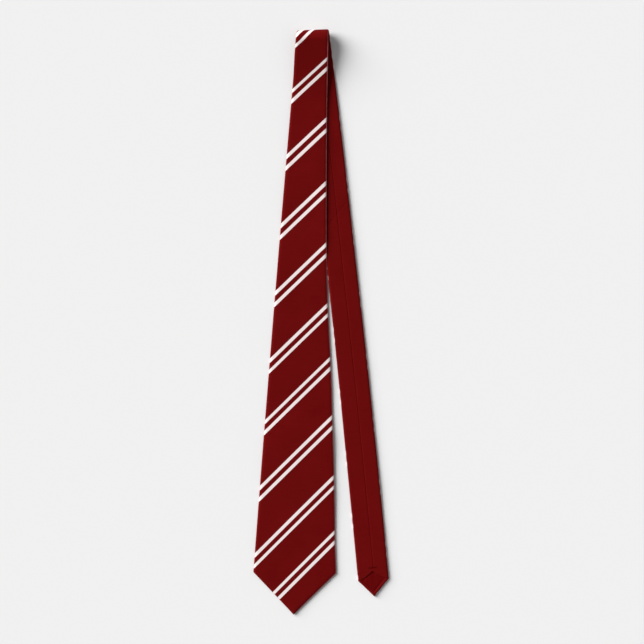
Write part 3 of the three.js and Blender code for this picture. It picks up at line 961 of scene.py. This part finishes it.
def makeKeeper():
    half, around = keeper["span"] / 2, keeper["around"]
    v = np.linspace(-half, half, keeper["rows"])[:, None] + np.zeros(around)
    angle = np.linspace(0, 2 * math.pi, around, endpoint=False)
    # a flattened tube: straight front and back, rounded long edges
    alongTie = np.sign(np.cos(angle)) * np.abs(np.cos(angle)) ** 0.35 * keeper["depth"] / 2
    through = np.sign(np.sin(angle)) * np.abs(np.sin(angle)) ** 0.5 * keeper["thickness"] / 2
    toEnd = ease((half - np.abs(v)) / keeper["endFade"])
    bowed = keeper["middle"] - keeper["bow"] * np.cos(v / keeper["span"] * math.pi)
    middle = keeper["endHeight"] + (bowed - keeper["endHeight"]) * toEnd
    u = keeper["at"] + alongTie * (1 - 0.03 * (1 - toEnd)) + 0 * v
    points = place(u, v, middle + through * (0.75 + 0.25 * toEnd)).reshape(-1, 3)
    share = ease((half - 2 - np.abs(v)) / keeper["bendFade"]).ravel()
    faces = gridQuads(keeper["rows"], around, around=True).tolist()
    faces += [list(range(around)), list(range(len(points) - around, len(points)))[::-1]]
    uv = np.stack([v, u], -1).reshape(-1, 2) * mm
    return makeMesh("keeper_loop", points, faces, plainSilk, uv, {"edge": 5 + 0 * share, "share": share})


keeperLoop = makeKeeper()
keeperMiddle = place(keeper["at"], 0, 0)
bendBetween(keeperLoop, "blade_end", "keeper", place(keeper["at"], -keeper["span"] / 2, 0), keeperMiddle)
standsFor(keeperLoop, "keeper_silk", "keeper_band")

# Label: a blank woven ribbon
label = {
    "at": bladeLength - 160.0,
    "span": 30.0,
    "depth": 22.0,
    "thickness": 0.3,
    "middle": -0.46,
    "wave": 0.10,
    "rows": 30,
    "columns": 38,
}


def makeLabel():
    halfDepth, halfSpan = label["depth"] / 2, label["span"] / 2
    u = label["at"] + np.linspace(-halfDepth, halfDepth, label["rows"])[:, None] + np.zeros(label["columns"])
    v = np.linspace(-halfSpan, halfSpan, label["columns"]) + 0 * u
    bulge = np.cos((u - label["at"]) / label["depth"] * math.pi) ** 2
    n = label["middle"] - label["wave"] * np.sin(v / 5.2 + 0.8) * bulge
    edge = np.minimum(halfSpan - np.abs(v), halfDepth - np.abs(u - label["at"]))
    return closeSheet("blank_label", sheetGrid(u, v, n, label["thickness"], edge), wovenRibbon)


blankLabel = makeLabel()
sewOn(blankLabel, "blade_end", "label", "care_label")
print("keeper and label made")


# Threads: one tree lays short arched stitches along a path
threadSizes = ("Spacing", "Stitch Length", "Rise", "Thread Radius")


def threadTree():
    tree = bpy.data.node_groups.new("laidStitches", "GeometryNodeTree")
    for way, kind, names in (
        ("INPUT", "Geometry", ("Path",)),
        ("INPUT", "Float", (*threadSizes, "Turn", "Waver")),
        ("INPUT", "Int", ("Seed",)),
        ("INPUT", "Material", ("Thread",)),
        ("OUTPUT", "Geometry", ("Stitches",)),
    ):
        for name in names:
            tree.interface.new_socket(name=name, in_out=way, socket_type="NodeSocket" + kind)

    def add(kind, inputs, out=0, **settings):
        return addNode(tree, kind, inputs, **settings).outputs[out]

    def times(a, b):
        return add("ShaderNodeMath", {0: a, 1: b}, operation="MULTIPLY")

    def named(name):
        return add("GeometryNodeInputNamedAttribute", {"Name": name}, data_type="FLOAT_VECTOR")

    def random(least, most):
        return add("FunctionNodeRandomValue", {2: least, 3: most, "Seed": given["Seed"]}, 1, data_type="FLOAT")

    given = tree.nodes.new("NodeGroupInput").outputs
    curve = add("GeometryNodeMeshToCurve", {0: given["Path"]})
    points = add("GeometryNodeResampleCurve", {"Curve": curve, "Length": given["Spacing"]}, mode="LENGTH")
    dip = times(given["Thread Radius"], -1.2)
    start, end = (
        add("ShaderNodeCombineXYZ", {0: times(given["Stitch Length"], share), 2: dip}) for share in (-0.5, 0.5)
    )
    top = add("ShaderNodeCombineXYZ", {2: times(given["Rise"], 2.0)})
    arch = add("GeometryNodeCurveQuadraticBezier", {"Resolution": 7, "Start": start, "Middle": top, "End": end})
    circle = add("GeometryNodeCurvePrimitiveCircle", {"Resolution": 7, "Radius": given["Thread Radius"]})
    thread = add("GeometryNodeCurveToMesh", {"Curve": arch, "Profile Curve": circle, "Fill Caps": True})
    axes = {"primary_axis": "Z", "secondary_axis": "X"}
    facing = add("FunctionNodeAxesToRotation", {0: named("up"), 1: named("along")}, **axes)
    waver = random(times(given["Waver"], -1.0), given["Waver"])
    turn = add("ShaderNodeMath", {0: given["Turn"], 1: waver}, operation="ADD")
    spin = add("FunctionNodeEulerToRotation", {0: add("ShaderNodeCombineXYZ", {2: turn})})
    turned = add("FunctionNodeRotateRotation", {0: facing, 1: spin}, rotation_space="LOCAL")
    laid = {"Points": points, "Instance": thread, "Rotation": turned, "Scale": random(0.9, 1.12)}
    real = add("GeometryNodeRealizeInstances", {0: add("GeometryNodeInstanceOnPoints", laid)})
    smooth = add("GeometryNodeSetShadeSmooth", {0: real})
    painted = add("GeometryNodeSetMaterial", {0: smooth, "Material": given["Thread"]})
    tree.links.new(painted, tree.nodes.new("NodeGroupOutput").inputs[0])
    return tree


stitchTree = threadTree()


def layStitches(name, u, v, n, settings, section=None):
    # the path is a line of points on the tie's back
    u, v, n = (np.array(value, float) for value in np.broadcast_arrays(u, v, n))
    points = place(u, v, n)
    path = bpy.data.meshes.new(name + "_path")
    path.from_pydata(points.tolist(), [[k, k + 1] for k in range(len(points) - 1)], [])
    for key, value in (("along", np.gradient(points, axis=0)), ("up", place(u, v, n - 0.2) - points)):
        value = (value / np.linalg.norm(value, axis=1)[:, None]).astype(np.float32).ravel()
        path.attributes.new(key, "FLOAT_VECTOR", "POINT").data.foreach_set("vector", value)
    holder = toScene(name + "_path", path)
    modifier = holder.modifiers.new("stitches", "NODES")
    modifier.node_group = stitchTree
    values = {**settings, "Thread": twistedThread}
    for item in stitchTree.interface.items_tree:
        if item.in_out == "INPUT" and item.name in values:
            value = values[item.name]
            modifier[item.identifier] = value * mm if item.name in threadSizes else value
    holder.update_tag()
    bpy.context.view_layer.update()
    graph = bpy.context.evaluated_depsgraph_get()
    mesh = bpy.data.meshes.new_from_object(holder.evaluated_get(graph))
    mesh.name = name
    holder.modifiers.clear()
    bpy.data.objects.remove(holder)
    if section:
        spots = np.array([vertex.co for vertex in mesh.vertices])
        nearest = np.array([np.argmin(((points - spot) ** 2).sum(1)) for spot in spots])
        share = shareAt(u, v, section)[nearest].astype(np.float32)
        mesh.attributes.new("share", "FLOAT", "POINT").data.foreach_set("value", share)
    return toScene(name, mesh)


def stitch(spacing, length, rise, thickness, turn, waver, seed):
    sizes = {"Spacing": spacing, "Stitch Length": length, "Rise": rise, "Thread Radius": thickness / 2}
    return {**sizes, "Turn": turn, "Waver": waver, "Seed": seed}


slipStitch = stitch(9.0, 2.6, 0.16, 0.32, 0.35, 0.18, 4)
seam = {"across": 0.95, "height": 0.12, "endGap": 4}
bladeTackAt = bladeLength - shell["opening"][0] - seam["endGap"]
tailTackAt = -(tailLength - shell["opening"][1] - seam["endGap"])
for section, first, last in (
    ("blade", sag["from"] + 3, bladeTackAt - 4),
    ("fold", bladeSeam + 4, sag["from"] - 3),
    ("neck", tailSeam + 4, bladeSeam - 4),
    ("tail", tailTackAt + 4, tailSeam - 4),
):
    along = np.arange(first, last, 0.7)
    made = layStitches(f"{section}_slip_stitches", along, seam["across"], seam["height"], slipStitch, section)
    bendWith(made, section, "thread", lengthsOf("slip_stitch", section))

tack = stitch(0.48, 2.1, 0.34, 0.54, quarterTurn, 0.07, 9)
for name, at in (("blade", bladeTackAt), ("tail", tailTackAt)):
    wraps = layStitches(f"{name}_tack", at, np.linspace(-4.5, 4.5, 30), 0.05, tack)
    sewOn(wraps, f"{name}_end", "thread", f"{name}_bar_tack")

keeperWrap = stitch(0.55, 3.0, 0.62, 0.56, quarterTurn, 0.07, 21)
for side, hand in (("left", -1), ("right", 1)):
    along = np.linspace(keeper["at"] - 6.7, keeper["at"] + 6.7, 40)
    wraps = layStitches(f"keeper_end_{side}", along, hand * (keeper["span"] / 2 + 0.2), -0.05, keeperWrap)
    sewOn(wraps, "blade_end", "thread", f"keeper_tack_{side}")

labelStitch = stitch(2.3, 1.7, 0.14, 0.32, 0.0, 0.05, 33)
for side, hand in (("top", -1), ("bottom", 1)):
    across = np.linspace(-label["span"] / 2 + 1, label["span"] / 2 - 1, 40)
    rowAt = label["at"] + hand * (label["depth"] / 2 - 1.1)
    row = layStitches(f"label_row_{side}", rowAt, across, label["middle"] - 0.12, labelStitch)
    sewOn(row, "blade_end", "thread", f"label_stitch_{side}")
print("threads made")
# Floor, light and camera
studio = {
    "floor": 7.0,
    "floorTone": (0.80, 0.80, 0.80, 1),
    "sunElevation": 29.5,
    "sunFrom": 150.0,  # degrees round from +X
    "sunSize": 44.0,
    "sunPower": 5.2,
    "skyPower": 0.27,
    "horizonPower": 0.86,
    "lens": 150.0,
    "view": 0.77727,  # metres across the frame at the floor
    "aim": (0.0011, 0.00043),
}


def makeFloor():
    half = studio["floor"] / 2
    mesh = bpy.data.meshes.new("floor")
    corners = [(x * half, y * half, 0) for x, y in ((-1, -1), (1, -1), (1, 1), (-1, 1))]
    mesh.from_pydata(corners, [], [(0, 1, 2, 3)])
    look = Look("paperFloor", Specular_IOR_Level=0.1)
    grain = look.noise(look.add("TexCoord").outputs["Object"], 300.0, 3.0)
    tone = studio["floorTone"]
    look.colour(look.mix(look.fade(grain, 0.3, 0.7), tone, tuple(part * 0.992 for part in tone[:3]) + (1,)))
    mesh.materials.append(look.finish(look.fade(grain, 0, 1, (0.8, 0.9)), grain, 0.05, 0.0001))
    toScene("floor", mesh)


makeFloor()
sun = toScene("softSun", bpy.data.lights.new("softSun", "SUN"))
sun.data.energy = studio["sunPower"]
sun.data.angle = math.radians(studio["sunSize"])
sun.rotation_euler = (math.radians(90 - studio["sunElevation"]), 0, math.radians(studio["sunFrom"] + 90))
sky = bpy.data.worlds.new("paleStudio")
sky.use_nodes = True
wayUp = addNode(sky.node_tree, "ShaderNodeTexCoord").outputs["Generated"]
wayUp = addNode(sky.node_tree, "ShaderNodeSeparateXYZ", {0: wayUp}).outputs[2]
power = {0: wayUp, 1: 0.02, 2: 0.25, 3: studio["horizonPower"], 4: studio["skyPower"]}
backdrop = sky.node_tree.nodes["Background"]
backdrop.inputs[0].default_value = (1.0, 1.0, 1.0, 1)
sky.node_tree.links.new(addNode(sky.node_tree, "ShaderNodeMapRange", power).outputs[0], backdrop.inputs[1])
bpy.context.scene.world = sky
bpy.context.scene.view_settings.view_transform = "Standard"

camera = toScene("camera", bpy.data.cameras.new("camera"))
camera.data.lens = studio["lens"]
camera.data.clip_end = 30
away = studio["view"] / 2 * studio["lens"] / (camera.data.sensor_width / 2)
camera.location = (*studio["aim"], away)
bpy.context.scene.camera = camera
print("floor, light and camera set")
